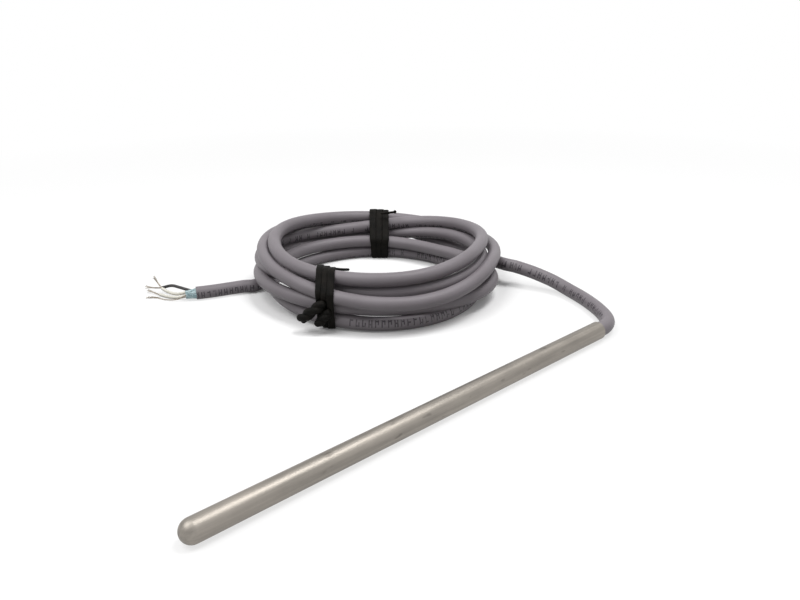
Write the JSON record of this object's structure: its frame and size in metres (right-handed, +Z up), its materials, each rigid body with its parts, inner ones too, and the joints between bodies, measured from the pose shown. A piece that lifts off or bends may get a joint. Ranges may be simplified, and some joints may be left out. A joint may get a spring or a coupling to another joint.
{
  "type": "temperature probe with coiled lead",
  "caption": "Straight closed metal probe sheath with a domed sensing tip and a grey screened lead, wound in a tied coil and ending in stripped wires.",
  "frame": {"origin": "on the surface that the probe lies on, under the middle of the sheath", "axes": "+Z up; +X along the sheath, from its sensing tip to its open mouth; the coil lies on the +Y side"},
  "size_m": [0.179, 0.1526, 0.0208],
  "materials": {
    "sheath_steel": "satin stainless steel, drawn along its length",
    "ceramic": "dense white alumina ceramic",
    "platinum": "bright platinum wire",
    "glaze": "glassy bead",
    "alumina_powder": "packed white powder",
    "crimp_brass": "tinned brass",
    "sleeve": "milky insulating sleeve",
    "core_white": "off-white core insulation",
    "core_black": "black core insulation",
    "tinned_copper": "dull tinned strands",
    "resin": "dark casting resin",
    "cable_jacket": "satin grey flexible jacket",
    "foil": "pale blue screen foil",
    "tie_black": "ribbed black tie"
  },
  "bodies": {
    "root": {"sheath_tube": "sheath_steel", "element_body": "ceramic", "winding_a": "platinum", "winding_b": "platinum", "element_glaze": "glaze", "element_lead_a": "platinum", "element_lead_b": "platinum", "powder_fill": "alumina_powder", "crimp_single": "crimp_brass", "crimp_double": "crimp_brass", "sleeve_single": "sleeve", "sleeve_double": "sleeve", "core_white_a": "core_white", "core_white_b": "core_white", "core_black": "core_black", "copper_white_a": "tinned_copper", "copper_white_b": "tinned_copper", "copper_black": "tinned_copper", "resin_seal": "resin", "jacket_root": "cable_jacket", "screen_root": "foil", "cable_lead": "cable_jacket", "cable_coil": "cable_jacket", "cable_tail": "cable_jacket", "foil_end": "foil", "end_white_a": "core_white", "end_white_b": "core_white", "end_black": "core_black", "end_drain": "tinned_copper", "tinned_white_a": "tinned_copper", "tinned_white_b": "tinned_copper", "tinned_black": "tinned_copper", "front_tie": "tie_black", "back_tie": "tie_black"}
  },
  "joints": []
}
